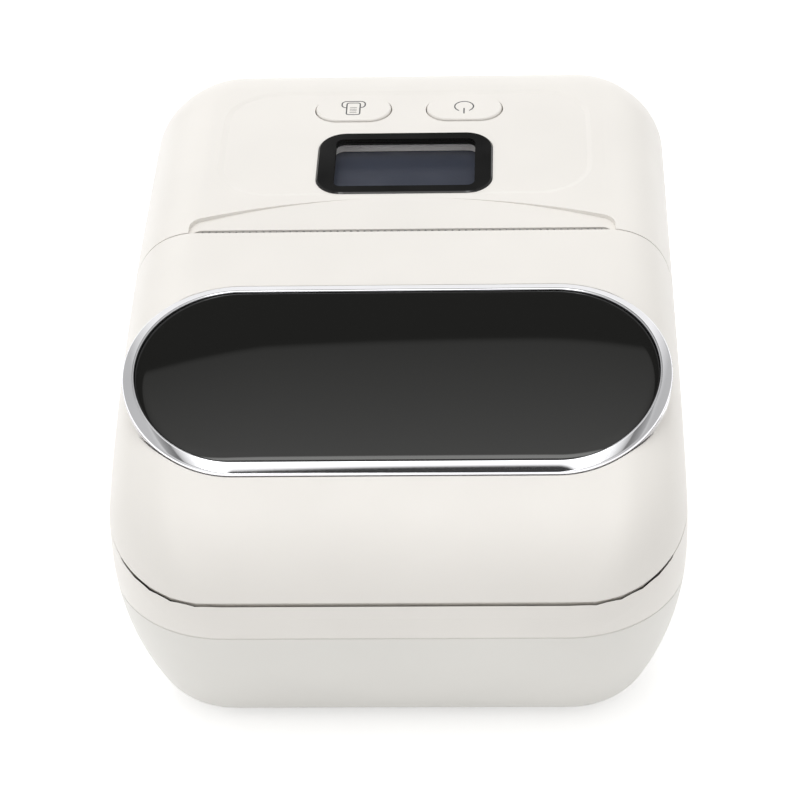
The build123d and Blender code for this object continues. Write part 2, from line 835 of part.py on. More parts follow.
def guide_right():
    m = guide_module
    x_end = roll_width / 2 + guide_play + guide_thick
    root_y = guide_pitch_r() + centre_play + 1.15 * m
    body = mirror(guide_plate(), Plane.YZ)
    foot = block(x_end - guide_thick - 2, x_end, bay_y - neck_half, bay_y + root_y + rack_web,
                 rack_z0, rack_z1)
    return body + foot + rack(-4.0, x_end, 1, 0)


# Gears

def gear_face(teeth, module, thin, turn=0.0):
    """A spur gear's outline with involute flanks; one tooth is centred at the angle turn."""
    r = teeth * module / 2
    pressure = radians(pressure_angle)
    base_r = r * cos(pressure)
    tip_r, root_r = r + 0.85 * module, r - 1.15 * module

    def involute(rho):
        angle = acos(min(1.0, base_r / rho))
        return tan(angle) - angle

    half = pi / (2 * teeth) - thin / (4 * r) + tan(pressure) - pressure
    low_r = max(base_r, root_r + 0.1 * module)
    radii = [root_r, low_r, low_r + (tip_r - low_r) * 0.4, low_r + (tip_r - low_r) * 0.75, tip_r]
    flank = [(rho, half - involute(max(rho, base_r))) for rho in radii]
    points = []
    for k in range(teeth):
        centre = radians(turn) + 2 * pi * k / teeth
        for rho, a in flank:
            points.append((rho * cos(centre - a), rho * sin(centre - a)))
        for rho, a in reversed(flank):
            points.append((rho * cos(centre + a), rho * sin(centre + a)))
    return make_face(Polyline(*points, close=True))


def mesh_turn(turn_a, teeth_a, teeth_b, bearing):
    """The angle of gear b that sets its gap on gear a's tooth; bearing is from a to b, in degrees."""
    return bearing + 180 - (turn_a - bearing) * teeth_a / teeth_b + 180 / teeth_b


def distance_between(teeth_a, teeth_b):
    return gear_module * (teeth_a + teeth_b) / 2 + centre_play


def idler_place():
    d = distance_between(platen_teeth, idler_teeth)
    return (platen_y + d * cos(radians(idler_bearing)), platen_z + d * sin(radians(idler_bearing)))


def double_gear_place():
    """Below the line from idler to motor, at the right distance from each."""
    iy, iz = idler_place()
    d1, d2 = distance_between(idler_teeth, small_teeth), distance_between(large_teeth, motor_teeth)
    gap = hypot(motor_y - iy, motor_z - iz)
    along = (d1 ** 2 - d2 ** 2 + gap ** 2) / (2 * gap)
    drop = sqrt(d1 ** 2 - along ** 2)
    uy, uz = (motor_y - iy) / gap, (motor_z - iz) / gap
    return (iy + along * uy + drop * uz, iz + along * uz - drop * uy)


def bearing_of(a, b):
    return degrees(atan2(b[1] - a[1], b[0] - a[0]))


def gear(teeth, place, turn, x0, bore_r):
    face = gear_face(teeth, gear_module, backlash, turn) - Circle(bore_r)
    return along_x(Pos(*place) * face, x0, x0 + gear_width)


layer_b = gear_x + gear_width + layer_gap


def platen_gear():
    body = gear(platen_teeth, (platen_y, platen_z), 0, gear_x, shaft_end_r)
    return body


def idler_turn():
    return mesh_turn(0, platen_teeth, idler_teeth, idler_bearing)


def idler_gear():
    body = gear(idler_teeth, idler_place(), idler_turn(), gear_x, 1.5 + pin_fit)
    face = Pos(*idler_place()) * (Circle(5.4) - Circle(3.2))
    return body - along_x(face, gear_x + gear_width - 0.7, gear_x + 5)


def double_gear():
    here = double_gear_place()
    small_turn = mesh_turn(idler_turn(), idler_teeth, small_teeth, bearing_of(idler_place(), here))
    small = gear(small_teeth, here, small_turn, gear_x, 1.5 + pin_fit)
    large = gear(large_teeth, here, 0, layer_b, 1.5 + pin_fit)
    large += along_x(Pos(*here) * (Circle(4.0) - Circle(1.5 + pin_fit)), gear_x + gear_width, layer_b + 0.1)
    holes = [Pos(*here) * Rot(0, 0, 60 * i) * Pos(6.9, 0) * Circle(1.7) for i in range(6)]
    for hole in holes:
        large -= along_x(hole, layer_b - 1, layer_b + 9)
    return small + large


def motor_gear():
    here = double_gear_place()
    turn = mesh_turn(0, large_teeth, motor_teeth, bearing_of(here, (motor_y, motor_z)))
    return gear(motor_teeth, (motor_y, motor_z), turn, layer_b, 1.0)


def gear_studs():
    """Steel studs on the side plate; the double gear's overlaps the idler and keeps it on."""
    iy, iz = idler_place()
    short = rod_x(1.5, frame_half - frame_sheet, gear_x + gear_width + 0.1, iy, iz)
    short += rod_x(2.6, frame_half, gear_x - 0.3, iy, iz)
    y, z = double_gear_place()
    clip_x = layer_b + gear_width + clip_gap
    long = rod_x(1.5, frame_half - frame_sheet, clip_x + clip_thick + 0.5, y, z)
    long += rod_x(2.6, frame_half, gear_x - 0.3, y, z)
    long -= rod_x(3, clip_x, clip_x + clip_thick, y, z) - rod_x(1.1, clip_x, clip_x + clip_thick, y, z)
    return [short, long]


def stud_clip():
    y, z = double_gear_place()
    clip_x = layer_b + gear_width + clip_gap
    face = Circle(2.6) - Circle(1.1) - Pos(0, -2) * Rectangle(1.6, 4)
    return along_x(Pos(y, z) * face, clip_x, clip_x + clip_thick)


# Print mechanism

def head_face_y():
    return platen_y + platen_r + paper_gap


def sink_y0():
    return head_face_y() + head_plate


def pivot_place():
    return (sink_y0() + sink_thick / 2, head_pivot_z)


def mech_frame():
    """Bent steel frame: a back plate, two side plates and a flange with screw holes."""
    x1, x0 = frame_half, frame_half - frame_sheet
    back = block(-x1, x1, frame_back_y, frame_back_y + frame_sheet, frame_low, frame_back_top)
    reach = frame_post_x + 6
    flange = block(-reach, reach, frame_post_y - 5, frame_back_y + 0.5, frame_low, frame_low + frame_sheet)
    for x, y in frame_post_places():
        flange -= rod_z(screw_r + 0.2, frame_low - 1, frame_low + 3, x, y)
    cradle_top = platen_z - 0.8
    side = outline((-6.2, frame_low), (-6.2, 46.8), (-8.6, 49.2), (-8.6, cradle_top), (2.0, cradle_top),
                   (2.0, frame_top), (frame_back_y + frame_sheet, frame_top),
                   (frame_back_y + frame_sheet, frame_low))
    right = side + outline((-3.0, 29.6), (-3.0, 45), (frame_back_y, 45), (frame_back_y, 52.5),
                           (motor_y + motor_r + 1, 52.5), (motor_y + motor_r + 1, 29.6))
    cradle = Pos(platen_y, platen_z) * Circle(bush_r + 0.2) + Pos(platen_y, platen_z + 5) * Rectangle(
        2 * (bush_r + 0.2), 10)
    pivot = Pos(*pivot_place()) * Circle(pivot_r)
    left_plate = along_x(side - cradle - pivot, -x1, -x0)
    right_face = right - cradle - pivot - Pos(motor_y, motor_z) * Circle(3.2)
    for y, z in (idler_place(), double_gear_place()):
        right_face -= Pos(y, z) * Circle(1.5)
    right_plate = along_x(right_face, x0, x1)
    body = back + flange + left_plate + right_plate
    for x in (-spring_x, spring_x):
        stud = Pos(x, platen_z) * Circle(spring_r - spring_wire - 0.5)
        body += extrude(Plane.XZ.offset(-frame_back_y) * stud, 1.6)
    body -= block(-12, 12, frame_back_y - 1, frame_back_y + 3, 40, 50)
    return body


def spring_pocket(x):
    face = Pos(x, platen_z) * Circle(spring_r + 0.4)
    return extrude(Plane.XZ.offset(-(sink_y0() + sink_thick + 0.1)) * face, 1.6)


def head_heatsink():
    """Aluminium beam behind the print head, with two lugs that turn on the pivot shaft."""
    y0, y1 = sink_y0(), sink_y0() + sink_thick
    body = block(-head_half, head_half, y0, y1, head_pivot_z + 4, head_top - 1)
    py, pz = pivot_place()
    lug_face = Pos(py, pz) * Circle(3.0) + outline((py - 1.7, pz), (py + 1.7, pz), (py + 1.7, pz + 5),
                                                   (py - 1.7, pz + 5))
    lug_face -= Pos(py, pz) * Circle(pivot_r + pin_fit)
    for x0, x1 in ((-head_half, -head_half + 6), (head_half - 6, head_half)):
        body += along_x(lug_face, x0, x1)
    for x in (-spring_x, spring_x):
        body -= spring_pocket(x)
    for i in range(9):
        x = -32 + 8 * i
        if abs(abs(x) - spring_x) > 4.5:
            body -= block(x - 2.4, x + 2.4, y1 - 1.2, y1 + 1, 45, 58)
    return body


def print_head():
    """Ceramic plate with the row of heating dots under a glaze, and the moulded cover of its chips."""
    y0 = head_face_y()
    plate = block(-head_half, head_half, y0, sink_y0(), platen_z - 5.5, head_top)
    cover = block(-head_half + 8, head_half - 8, y0 - 0.6, y0, platen_z - 10.5, platen_z - 6.0)
    base = block(-head_half, head_half, y0, sink_y0(), platen_z - 10.5, platen_z - 5.5)
    return plate + base + cover


def head_springs():
    """Two coil springs that press the head to the roller."""
    springs = []
    y1 = frame_back_y
    y0 = sink_y0() + sink_thick - 1.6 + 0.1 + 0.85
    length = y1 - y0 - spring_wire
    for x in (-spring_x, spring_x):
        r = spring_r - spring_wire / 2
        pitch = length / spring_turns
        path = Helix(pitch, length, r)
        start = path @ 0
        wire = Plane(origin=start, z_dir=path % 0) * RegularPolygon(spring_wire / 2, 6)
        coil = sweep(wire, path=path, is_frenet=True)
        springs.append(Pos(x, y1 - spring_wire / 2, platen_z) * Rot(90, 0, 0) * coil)
    return springs


def pivot_shaft():
    y, z = pivot_place()
    return rod_x(pivot_r, -frame_half - 0.8, frame_half + 0.8, y, z)


def platen_rubber():
    face = Pos(platen_y, platen_z) * (Circle(platen_r) - Circle(platen_core_r))
    return along_x(face, -platen_half, platen_half)


def platen_shaft():
    core = rod_x(platen_core_r, -platen_half - 0.2, platen_half + 0.2, platen_y, platen_z)
    return core + rod_x(shaft_end_r, -ear_x1 - 0.8, gear_x + gear_width + 0.6, platen_y, platen_z)


def platen_bushes():
    """Two plastic bushes: each sits in the frame's cradle and in an ear of the roller carrier."""
    face = Circle(bush_r) - Circle(shaft_end_r + pin_fit)
    flange = Circle(bush_r + 1.0) - Circle(shaft_end_r + pin_fit)
    bush = along_x(Pos(platen_y, platen_z) * face, frame_half - frame_sheet - 0.2, ear_x1)
    bush += along_x(Pos(platen_y, platen_z) * (Circle(bush_r + 0.1) - Circle(shaft_end_r + pin_fit)),
                    frame_half + 0.05, frame_half + 0.2)
    return both_sides(bush)


def roller_carrier(lid_room):
    """The moulding inside the lid that carries the roller by two ears."""
    arm = outline((platen_y - bush_r - 1.6, platen_z), (platen_y + 2, platen_z + 3.6),
                  (platen_y - 2, platen_z + 8), (platen_y - 11, platen_z + 8), (platen_y - 11, platen_z + 0.5))
    ear = Pos(platen_y, platen_z) * Circle(bush_r + 1.7) + arm
    ear -= Pos(platen_y, platen_z) * Circle(bush_r)
    y0, y1, y2 = platen_y - 11, platen_y - 8.7, platen_y - 6.1
    z0, z1, z2 = platen_z + 0.5, platen_z + 7, platen_z + 10
    bar = outline((y0, z0), (y2, z0 + 2), (y2, z1), (y1, z1), (y1, z2), (y0, z2))
    body = along_x(bar, -ear_x1, ear_x1)
    body += [along_x(ear, ear_x0, ear_x1), along_x(ear, -ear_x1, -ear_x0)]
    for x in (-30, -15, 0, 15, 30):
        gusset = outline((y0, z0), (y0, z2 + 2), (y0 - 5.5, z2 + 2), (y0 - 5.5, platen_z + 6))
        body += along_x(gusset, x - 0.8, x + 0.8)
    return (body & lid_room).solids().sort_by(SortBy.VOLUME)[-1]


def tear_bar():
    """A thin saw-edged blade at the slot."""
    pitch, depth = 1.3, 0.7
    z1 = top_z(seam_y) - scoop_depth - 0.15
    y0 = seam_y + slot_width - 0.02
    count = int(2 * (slot_half - 1) / pitch)
    points = [(-count * pitch / 2, z1 - 4.5)]
    for i in range(count):
        x = -count * pitch / 2 + i * pitch
        points += [(x, z1 - depth), (x + pitch / 2, z1)]
    points += [(count * pitch / 2, z1 - depth), (count * pitch / 2, z1 - 4.5)]
    return extrude(Plane.XZ.offset(-y0) * make_face(Polyline(*points, close=True)), 0.35)


def stepper_motor():
    inside_x = frame_half - frame_sheet
    can = rod_x(motor_r, inside_x - motor_length, inside_x, motor_y, motor_z)
    can = fillet(can.edges().group_by(Axis.X)[0], 1.0)
    can += rod_x(3.1, frame_half - frame_sheet, frame_half + 0.6, motor_y, motor_z)
    return can


def motor_shaft():
    return rod_x(1.0, frame_half + 0.6, layer_b + gear_width + 0.5, motor_y, motor_z)


def gap_sensor():
    """Small board under the paper path with its optical sensor."""
    board = block(-8, 8, platen_y - 2.9, platen_y + 2.9, sensor_z, sensor_z + 1.0)
    return board + block(-2.2, 2.2, platen_y - 1.6, platen_y + 1.6, sensor_z + 1.0, sensor_z + 2.6)


# Electronics and power

def battery_cells():
    cells = []
    for i in range(2):
        y = battery_y + i * battery_pitch
        cell = rod_x(battery_r, -battery_length / 2, battery_length / 2, y, battery_z)
        cells.append(fillet(cell.edges(), 0.8))
    return cells


def main_board():
    board = block(-board_half, board_half, board_y0, board_y1, board_z, board_z + board_thick)
    top = board_z + board_thick
    for x, y, w, d, h in ((-2, 50, 10, 10, 1.2), (14, 48, 8, 6, 1.6), (-18, 48, 6, 8, 1.4),
                          (24, 58, 8, 5, 5.5), (8, 60, 12, 5, 5.5), (28, 44, 6, 6, 3.0)):
        board += block(x - w / 2, x + w / 2, y - d / 2, y + d / 2, top - 0.01, top + h)
    for x in (-26, -21):
        board += rod_z(2.0, top - 0.01, top + 6, x, 41.5)
    return board


def charge_port():
    """A USB-C receptacle on the edge of the board, just inside its hole."""
    y1 = back_y - port_recess
    z = port_centre_z()
    outer_face = Pos(port_x, z) * SlotOverall(port_width, port_height)
    inner_face = Pos(port_x, z) * SlotOverall(port_width - 0.6, port_height - 0.6)
    shell = extrude(Plane.XZ.offset(-y1) * outer_face, port_length)
    shell -= extrude(Plane.XZ.offset(-y1 - 1) * inner_face, port_length)
    tongue = block(port_x - 3.3, port_x + 3.3, y1 - port_length + 0.8, y1 - 0.8, z - 0.35, z + 0.35)
    return shell + tongue


def rubber_feet():
    feet = []
    for x, y in foot_places():
        pad = rod_z(foot_r, 0, base_z + foot_sink, x, y)
        feet.append(chamfer(pad.edges().group_by(Axis.Z)[0], 0.4))
    return feet


def casing_screws():
    screws = []
    for x, y in chassis_boss_places():
        screws.append(screw_from_below(x, y, screw_floor_z - 0.2 - screw_head_h, screw_floor_z + 9))
    for x, y in rear_post_places():
        screws.append(screw_from_below(x, y, screw_floor_z - 0.2 - screw_head_h, split_z + 7))
    return screws


def frame_screws():
    return [screw_from_above(x, y, frame_low + frame_sheet + screw_head_h, frame_low - 7)
            for x, y in frame_post_places()]


def build():
    outer, inner = case_form(0), case_form(wall)
    under_lens = crown(lens_seat + pad_thick + 0.05)
    reaches = edge_reaches(outer)
    sweep = hinge_sweep(reaches)
    casing = upper_casing(outer, inner, sweep)
    for post in key_board_posts():
        casing += post
    return {
        "bottom_casing": bottom_casing(outer, inner),
        "upper_casing": casing,
        "lid_shell": lid_shell(outer, inner, reaches),
        "ring_bezel": ring_bezel(),
        "window_lens": window_lens(),
        "print_key": key(print_key_x),
        "power_key": key(power_key_x),
        "print_switch_plunger": plunger(print_key_x),
        "power_switch_plunger": plunger(power_key_x),
        "key_board": key_board(),
        "display_lens": display_lens(),
        "display_holder": display_holder(),
        "display_module": display_module(),
        "chassis": chassis(sweep),
        "hinge_rod": hinge_rod(),
        "guide_left": guide_left(),
        "guide_right": guide_right(),
        "guide_pinion": guide_pinion(),
        "mech_frame": mech_frame(),
        "print_head": print_head(),
        "head_heatsink": head_heatsink(),
        "head_springs": head_springs(),
        "head_pivot_shaft": pivot_shaft(),
        "platen_rubber": platen_rubber(),
        "platen_shaft": platen_shaft(),
        "platen_bushes": platen_bushes(),
        "platen_gear": platen_gear(),
        "idler_gear": idler_gear(),
        "double_gear": double_gear(),
        "motor_gear": motor_gear(),
        "gear_studs": gear_studs(),
        "stud_clip": stud_clip(),
        "stepper_motor": stepper_motor(),
        "motor_shaft": motor_shaft(),
        "roller_carrier": roller_carrier(inner & lid_zone(seam_gap + 0.3) & under_lens),
        "tear_bar": tear_bar(),
        "gap_sensor": gap_sensor(),
        "battery_cells": battery_cells(),
        "main_board": main_board(),
        "charge_port": charge_port(),
        "rubber_feet": rubber_feet(),
        "casing_screws": casing_screws(),
        "frame_screws": frame_screws(),
    }


def guide_pinion():
    """The pinion between the two racks, which makes the guides move alike."""
    face = gear_face(guide_teeth, guide_module, rack_backlash, -90) - Circle(1.5 + pin_fit)
    return along_z(Pos(0, bay_y) * face, rack_z0, rack_z1)


def write(name, shape):
    solids = []
    for piece in shape if isinstance(shape, list) else [shape]:
        solids += piece.solids()
    part = solids[0] if len(solids) == 1 else Compound(children=solids)
    part.label = name
    export_step(part, f"parts/{name}.step")


if __name__ == "__main__":
    os.makedirs("parts", exist_ok=True)
    for name, shape in build().items():
        write(name, shape)
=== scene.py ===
import bmesh
import bpy
import json
import math
import numpy as np
from mathutils import Matrix, Vector

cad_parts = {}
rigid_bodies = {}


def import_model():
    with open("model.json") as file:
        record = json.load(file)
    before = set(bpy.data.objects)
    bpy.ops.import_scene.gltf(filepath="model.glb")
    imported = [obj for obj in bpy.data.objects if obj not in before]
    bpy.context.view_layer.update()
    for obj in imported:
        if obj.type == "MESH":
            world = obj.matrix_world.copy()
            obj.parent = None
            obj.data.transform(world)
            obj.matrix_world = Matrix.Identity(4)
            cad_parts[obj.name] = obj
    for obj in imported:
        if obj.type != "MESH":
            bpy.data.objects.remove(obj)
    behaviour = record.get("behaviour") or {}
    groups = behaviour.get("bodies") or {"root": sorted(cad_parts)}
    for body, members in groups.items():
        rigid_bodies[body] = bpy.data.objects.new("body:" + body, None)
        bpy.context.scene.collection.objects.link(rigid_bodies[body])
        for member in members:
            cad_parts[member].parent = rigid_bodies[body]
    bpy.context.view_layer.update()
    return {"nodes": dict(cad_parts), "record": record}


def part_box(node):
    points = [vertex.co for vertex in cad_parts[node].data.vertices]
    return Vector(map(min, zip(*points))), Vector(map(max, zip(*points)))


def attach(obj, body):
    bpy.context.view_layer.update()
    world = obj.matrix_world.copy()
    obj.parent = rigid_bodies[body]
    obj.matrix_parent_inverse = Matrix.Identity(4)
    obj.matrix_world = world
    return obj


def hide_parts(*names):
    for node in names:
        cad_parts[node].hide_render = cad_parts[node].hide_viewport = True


for leftover in list(bpy.data.objects):
    bpy.data.objects.remove(leftover)
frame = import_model()
cadNodes = frame["nodes"]
mm = 0.001

# Camera: placed by a perspective fit of the case's outline, window, slot and keys
cameraSettings = {
    "target": (0.0, 0.0, 0.033),
    "distance": 0.57866,
    "elevation": 36.52,
    "azimuth": 2.97,
    "roll": 2.19,
    "lens": 131.79,
    "sensor": 36.0,
    "shift": (-0.00806, -0.02248),
}


def setCamera(c):
    el, az, roll = (math.radians(c[k]) for k in ("elevation", "azimuth", "roll"))
    back = Vector((math.sin(az) * math.cos(el), -math.cos(az) * math.cos(el), math.sin(el)))
    right = Vector((math.cos(az), math.sin(az), 0))
    up = back.cross(right)
    turnedRight = math.cos(roll) * right - math.sin(roll) * up
    turnedUp = math.sin(roll) * right + math.cos(roll) * up
    data = bpy.data.cameras.new("photoCamera")
    data.lens, data.sensor_width = c["lens"], c["sensor"]
    data.shift_x, data.shift_y = c["shift"]
    camera = bpy.data.objects.new("photoCamera", data)
    bpy.context.scene.collection.objects.link(camera)
    place = Vector(c["target"]) + back * c["distance"]
    axes = Matrix((turnedRight, turnedUp, back)).transposed().to_4x4()
    camera.matrix_world = Matrix.Translation(place) @ axes
    bpy.context.scene.camera = camera
    bpy.context.scene.view_settings.view_transform = "Standard"


setCamera(cameraSettings)
print("camera set")

# Light: a pale room, a large soft panel overhead and a soft fill at the left
roomSettings = {
    "fill": 0.64,              # room light on matt surfaces
    "fillColour": (1.0, 0.995, 0.985, 1),
    "floorReach": 30.0,
    "floorColour": (0.93, 0.93, 0.93, 1),
    "floorGlow": 0.46,
}
overheadPanel = {"place": (-0.15, 0.25, 1.5), "aim": (0, 0, 0.03), "size": 1.3, "watts": 9.6}
sidePanel = {"place": (-1.3, -0.5, 0.7), "aim": (0, 0, 0.03), "size": 0.9, "watts": 1.2}
# What polished surfaces see: bands across the ceiling, as degrees in front of the zenith and how bright.
# Dark behind, then open ceiling, a strip light, the pale front wall and the unlit room low in front.
ceilingSettings = {
    "bands": (
        (-90, 1.0), (-63.9, 1.0), (-60.3, 0.08), (-23.94, 0.08), (-22.86, 0.48), (5.4, 1.15), (13.5, 1.15),
        (16.2, 4.6), (28.8, 4.6), (34.2, 1.25), (47.7, 1.25), (50.4, 0.05), (90, 0.05),
    ),
    "warmth": 0.985,           # blue against red and green
    "bend": 2.5,               # how far the bands curve back towards the sides
    "sideWall": 0.55,          # the room far to the left and right
    "sideFrom": (0.42, 0.62),
    "horizon": 1.0,
    "lowest": 0.02,            # the height below which the horizon takes over
}


def addNode(tree, kind, **values):
    node = tree.nodes.new(kind)
    for key, value in values.items():
        setattr(node, key, value)
    return node


def mathNode(tree, operation, a, b=None):
    node = addNode(tree, "ShaderNodeMath", operation=operation)
    for socket, value in zip(node.inputs, (a, b)):
        if value is None:
            continue
        if isinstance(value, (int, float)):
            socket.default_value = value
        else:
            tree.links.new(value, socket)
    return node.outputs[0]


def rampNode(tree, source, stops):
    node = addNode(tree, "ShaderNodeValToRGB")
    elements = node.color_ramp.elements
    while len(elements) < len(stops):
        elements.new(0.5)
    for element, (place, colour) in zip(elements, stops):
        element.position = place
        element.color = colour if len(colour) == 4 else (*colour, 1)
    tree.links.new(source, node.inputs[0])
    return node.outputs[0]


# nearly all values of a noise lie between these two
noiseLow, noiseHigh = 0.3, 0.7


def spread(tree, source, low, high, fromLow=noiseLow, fromHigh=noiseHigh):
    node = addNode(tree, "ShaderNodeMapRange")
    tree.links.new(source, node.inputs["Value"])
    for key, value in zip(("From Min", "From Max", "To Min", "To Max"), (fromLow, fromHigh, low, high)):
        node.inputs[key].default_value = value
    return node.outputs[0]


def backdrop(tree, strength, colour=(1, 1, 1, 1)):
    node = addNode(tree, "ShaderNodeBackground")
    node.inputs["Strength"].default_value = strength
    if isinstance(colour, tuple):
        node.inputs["Color"].default_value = colour
    else:
        tree.links.new(colour, node.inputs["Color"])
    return node.outputs[0]


def mixedShaders(tree, share, first, second):
    node = addNode(tree, "ShaderNodeMixShader")
    for socket, source in zip(node.inputs, (share, first, second)):
        tree.links.new(source, socket)
    return node.outputs[0]


def mixedColours(tree, share, first, second):
    node = addNode(tree, "ShaderNodeMix", data_type="RGBA")
    tree.links.new(share, node.inputs["Factor"])
    tree.links.new(first, node.inputs[6])
    node.inputs[7].default_value = second
    return node.outputs[2]


def grey(bright, warmth):
    return (bright, bright, bright * warmth, 1)


def ceilingColour(tree, c):
    # angle = atan(-y / z) in front of the zenith, less bend * (x / z)^2, looked up among the bands
    coord = addNode(tree, "ShaderNodeTexCoord")
    split = addNode(tree, "ShaderNodeSeparateXYZ")
    tree.links.new(coord.outputs["Generated"], split.inputs[0])
    x, y, z = split.outputs
    height = mathNode(tree, "MAXIMUM", z, c["lowest"])
    forward = mathNode(tree, "MULTIPLY", y, -1.0)
    angle = mathNode(tree, "ARCTANGENT", mathNode(tree, "DIVIDE", forward, height))
    side = mathNode(tree, "POWER", mathNode(tree, "DIVIDE", x, height), 2.0)
    bent = mathNode(tree, "SUBTRACT", angle, mathNode(tree, "MULTIPLY", side, c["bend"]))
    part = mathNode(tree, "DIVIDE", mathNode(tree, "ADD", bent, math.radians(90)), math.pi)
    stops = [((degrees + 90) / 180, grey(bright, c["warmth"])) for degrees, bright in c["bands"]]
    bands = rampNode(tree, part, stops)
    towardsSide = spread(tree, mathNode(tree, "ABSOLUTE", x), 0.0, 1.0, *c["sideFrom"])
    walls = mixedColours(tree, towardsSide, bands, grey(c["sideWall"], c["warmth"]))
    low = mathNode(tree, "LESS_THAN", z, c["lowest"])
    return mixedColours(tree, low, walls, grey(c["horizon"], 1.0))


def seenDirectly(tree, path):
    return mathNode(tree, "MAXIMUM", path.outputs["Is Camera Ray"], path.outputs["Is Transmission Ray"])


def setWorld(r, c):
    world = bpy.data.worlds.new("paleRoom")
    bpy.context.scene.world = world
    world.use_nodes = True
    tree = world.node_tree
    tree.nodes.clear()
    out = addNode(tree, "ShaderNodeOutputWorld")
    path = addNode(tree, "ShaderNodeLightPath")
    room = backdrop(tree, r["fill"], r["fillColour"])
    mirror = backdrop(tree, 1.0, ceilingColour(tree, c))
    polished = mixedShaders(tree, path.outputs["Is Glossy Ray"], room, mirror)
    shown = mixedShaders(tree, seenDirectly(tree, path), polished, backdrop(tree, 1.0))
    tree.links.new(shown, out.inputs[0])


def softPanel(name, p):
    data = bpy.data.lights.new(name, "AREA")
    data.shape, data.size, data.energy = "DISK", p["size"], p["watts"]
    lamp = bpy.data.objects.new(name, data)
    bpy.context.scene.collection.objects.link(lamp)
    lamp.location = p["place"]
    lamp.rotation_euler = (Vector(p["aim"]) - Vector(p["place"])).to_track_quat("-Z", "Y").to_euler()
    lamp.visible_glossy = False


def setFloor(r):
    reach = r["floorReach"]
    corners = [(-reach, -reach, 0), (reach, -reach, 0), (reach, reach, 0), (-reach, reach, 0)]
    mesh = bpy.data.meshes.new("studioFloor")
    mesh.from_pydata(corners, [], [(0, 1, 2, 3)])
    floor = bpy.data.objects.new("studioFloor", mesh)
    bpy.context.scene.collection.objects.link(floor)
    material = bpy.data.materials.new("palePaper")
    material.use_nodes = True
    tree = material.node_tree
    tree.nodes.clear()
    out = addNode(tree, "ShaderNodeOutputMaterial")
    path = addNode(tree, "ShaderNodeLightPath")
    matt = addNode(tree, "ShaderNodeBsdfDiffuse")
    matt.inputs["Color"].default_value = r["floorColour"]
    glow = addNode(tree, "ShaderNodeEmission")
    direct = mathNode(tree, "MAXIMUM", seenDirectly(tree, path), path.outputs["Is Glossy Ray"])
    tree.links.new(mathNode(tree, "MULTIPLY", direct, r["floorGlow"]), glow.inputs["Strength"])
    both = addNode(tree, "ShaderNodeAddShader")
    tree.links.new(matt.outputs[0], both.inputs[0])
    tree.links.new(glow.outputs[0], both.inputs[1])
    tree.links.new(both.outputs[0], out.inputs[0])
    mesh.materials.append(material)


setWorld(roomSettings, ceilingSettings)
softPanel("overheadPanel", overheadPanel)
softPanel("sidePanel", sidePanel)
setFloor(roomSettings)
print("light and floor set")


def plastic(colour, rough, grain, grainDepth, drift):
    return {"colour": colour, "rough": rough, "grain": grain, "grainDepth": grainDepth, "drift": drift}


def metal(colour, rough, brush, stretch):
    return {"colour": colour, "rough": rough, "brush": brush, "stretch": stretch}


# Finishes: every one reads Object coordinates, in metres
finishes = {
    "warmWhiteShell": plastic((0.895, 0.868, 0.828), 0.36, 2600, 0.030, 0.018),
    "lowerShell": plastic((0.840, 0.826, 0.790), 0.38, 2600, 0.030, 0.018),
    "keyPlastic": plastic((0.895, 0.868, 0.828), 0.40, 3000, 0.025, 0.012),
    "innerMoulding": plastic((0.030, 0.030, 0.032), 0.55, 1800, 0.10, 0.15),
    "guideMoulding": plastic((0.62, 0.61, 0.59), 0.45, 1800, 0.05, 0.03),
    "greyMoulding": plastic((0.87, 0.845, 0.80), 0.55, 2500, 0.06, 0.04),
    "gearPlastic": plastic((0.72, 0.70, 0.62), 0.42, 2200, 0.03, 0.03),
    "bushPlastic": plastic((0.020, 0.020, 0.020), 0.45, 2200, 0.04, 0.1),
    "rollerRubber": plastic((0.018, 0.018, 0.018), 0.62, 3500, 0.08, 0.2),
    "footRubber": plastic((0.030, 0.030, 0.030), 0.75, 1500, 0.15, 0.2),
}
metalFinishes = {
    "platedChrome": metal((0.86, 0.86, 0.89), 0.06, 0.0, (1, 1, 1)),
    "brightSteel": metal((0.62, 0.62, 0.63), 0.24, 0.04, (0.05, 1, 1)),
    "zincSheet": metal((0.60, 0.61, 0.63), 0.33, 0.05, (0.15, 1, 1)),
    "castSink": metal((0.68, 0.69, 0.70), 0.38, 0.08, (0.04, 1, 1)),
    "brassGear": metal((0.70, 0.50, 0.22), 0.25, 0.03, (1, 1, 1)),
    "motorCan": metal((0.40, 0.41, 0.43), 0.30, 0.04, (0.1, 1, 1)),
}


def newMaterial(name):
    material = bpy.data.materials.new(name)
    material.use_nodes = True
    tree = material.node_tree
    shader = next(n for n in tree.nodes if n.type == "BSDF_PRINCIPLED")
    place = addNode(tree, "ShaderNodeTexCoord").outputs["Object"]
    return material, tree, shader, place


def noise(tree, place, scale, detail=3.0, roughness=0.5, stretch=None):
    if stretch:
        mapping = addNode(tree, "ShaderNodeMapping")
        mapping.inputs["Scale"].default_value = stretch
        tree.links.new(place, mapping.inputs["Vector"])
        place = mapping.outputs[0]
    node = addNode(tree, "ShaderNodeTexNoise")
    node.inputs["Scale"].default_value = scale
    node.inputs["Detail"].default_value = detail
    node.inputs["Roughness"].default_value = roughness
    tree.links.new(place, node.inputs["Vector"])
    return node.outputs["Fac"]


def tint(tree, source, shader, dark, light):
    # colour between two shades, by a noise
    shades = rampNode(tree, source, [(noiseLow, dark), (noiseHigh, light)])
    tree.links.new(shades, shader.inputs["Base Color"])


def gloss(tree, source, shader, low, high):
    # roughness between two values, by a noise
    tree.links.new(spread(tree, source, low, high), shader.inputs["Roughness"])


